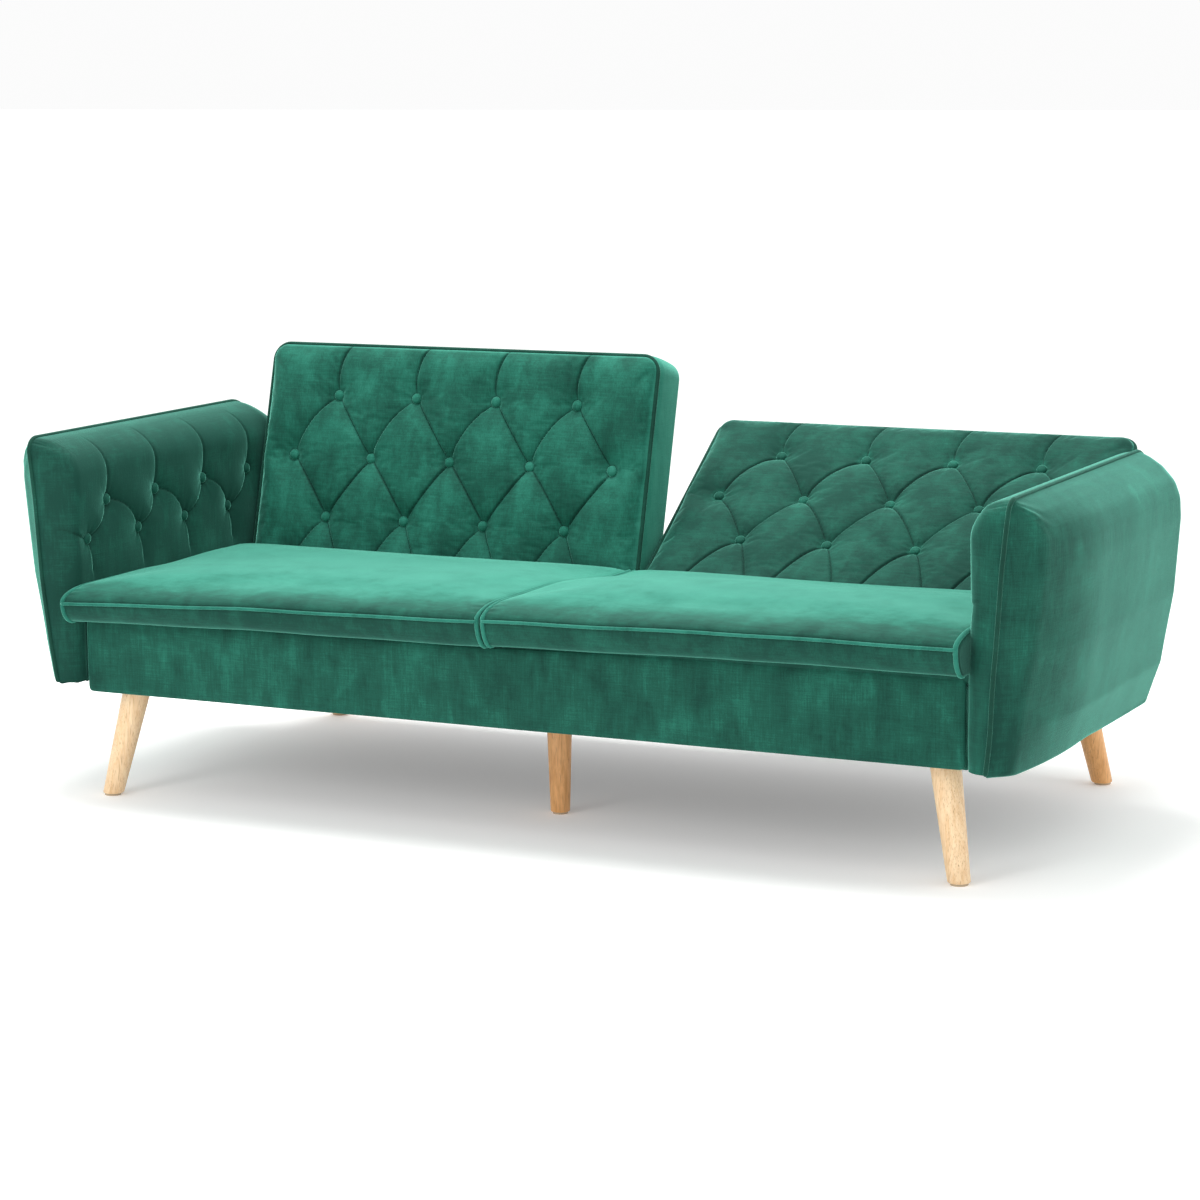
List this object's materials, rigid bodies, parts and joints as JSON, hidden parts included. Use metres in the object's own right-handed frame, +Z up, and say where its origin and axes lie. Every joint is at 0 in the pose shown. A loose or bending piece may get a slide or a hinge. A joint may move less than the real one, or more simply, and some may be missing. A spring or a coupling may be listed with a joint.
{
  "type": "futon sofa bed",
  "caption": "Upholstered sofa bed with two separately reclining button-tufted backs, padded arms, a piped seat and splayed round wooden legs.",
  "frame": {"origin": "on the floor, under the middle of the footprint with the left back upright and the right back half reclined", "axes": "+X to the right as seen from the front, +Y towards the rear, +Z up; left is -X"},
  "size_m": [2.068, 1.1138, 0.8092],
  "materials": {
    "velvet": "brushed emerald green velvet",
    "piping_velvet": "velvet wrapped over cord",
    "rear_velvet": "flat stapled velvet over board",
    "leg_wood": "clear lacquered rubberwood",
    "frame_wood": "sawn pine",
    "zinc_steel": "zinc plated pressed steel",
    "glide_plastic": "moulded nylon",
    "black_felt": "non-woven black cloth",
    "webbing": "woven elastic webbing"
  },
  "bodies": {
    "base": {"arm_bolts": "zinc_steel", "arm_buttons": "velvet", "centre_beam": "frame_wood", "centre_leg": "leg_wood", "corner_blocks": "frame_wood", "dust_cover": "black_felt", "front_cover": "velvet", "front_left_leg": "leg_wood", "front_rail": "frame_wood", "front_right_leg": "leg_wood", "hinge_pins": "zinc_steel", "hinge_plates": "zinc_steel", "hinge_screws": "zinc_steel", "left_arm_frame": "frame_wood", "left_arm_pad": "velvet", "left_arm_piping": "piping_velvet", "left_arm_shell": "velvet", "left_end_cover": "velvet", "left_end_rail": "frame_wood", "left_seat_cushion": "velvet", "leg_bolts": "zinc_steel", "leg_glides": "glide_plastic", "pawl_springs": "zinc_steel", "rear_cover": "velvet", "rear_deck": "black_felt", "rear_left_leg": "leg_wood", "rear_rail": "frame_wood", "rear_right_leg": "leg_wood", "right_arm_frame": "frame_wood", "right_arm_pad": "velvet", "right_arm_piping": "piping_velvet", "right_arm_shell": "velvet", "right_end_cover": "velvet", "right_end_rail": "frame_wood", "right_seat_cushion": "velvet", "seat_felt": "black_felt", "seat_piping": "piping_velvet", "seat_springs": "zinc_steel", "spring_clips": "zinc_steel", "spring_cross_rail": "frame_wood"},
    "left_back": {"left_back_buttons": "velvet", "left_back_cushion": "velvet", "left_back_frame": "frame_wood", "left_back_piping": "piping_velvet", "left_back_rear_panel": "rear_velvet", "left_back_webbing": "webbing", "left_hinge_arm_screws": "zinc_steel", "left_hinge_arms": "zinc_steel"},
    "right_back": {"right_back_buttons": "velvet", "right_back_cushion": "velvet", "right_back_frame": "frame_wood", "right_back_piping": "piping_velvet", "right_back_rear_panel": "rear_velvet", "right_back_webbing": "webbing", "right_hinge_arm_screws": "zinc_steel", "right_hinge_arms": "zinc_steel"},
    "left_pawls": {"left_pawls": "zinc_steel"},
    "right_pawls": {"right_pawls": "zinc_steel"}
  },
  "joints": [
    {"name": "left_back_recline", "type": "hinge", "parent": "base", "child": "left_back", "pos_m": [0, 0.153, 0.36], "axis": [-1, 0, 0], "range_deg": [-6, 75]},
    {"name": "right_back_recline", "type": "hinge", "parent": "base", "child": "right_back", "pos_m": [0, 0.153, 0.36], "axis": [-1, 0, 0], "range_deg": [-47, 34]},
    {"name": "left_pawls_turn", "type": "hinge", "parent": "base", "child": "left_pawls", "pos_m": [0, 0.167, 0.304], "axis": [-1, 0, 0], "range_deg": [0, 23]},
    {"name": "right_pawls_turn", "type": "hinge", "parent": "base", "child": "right_pawls", "pos_m": [0, 0.167, 0.304], "axis": [-1, 0, 0], "range_deg": [0, 23]}
  ]
}
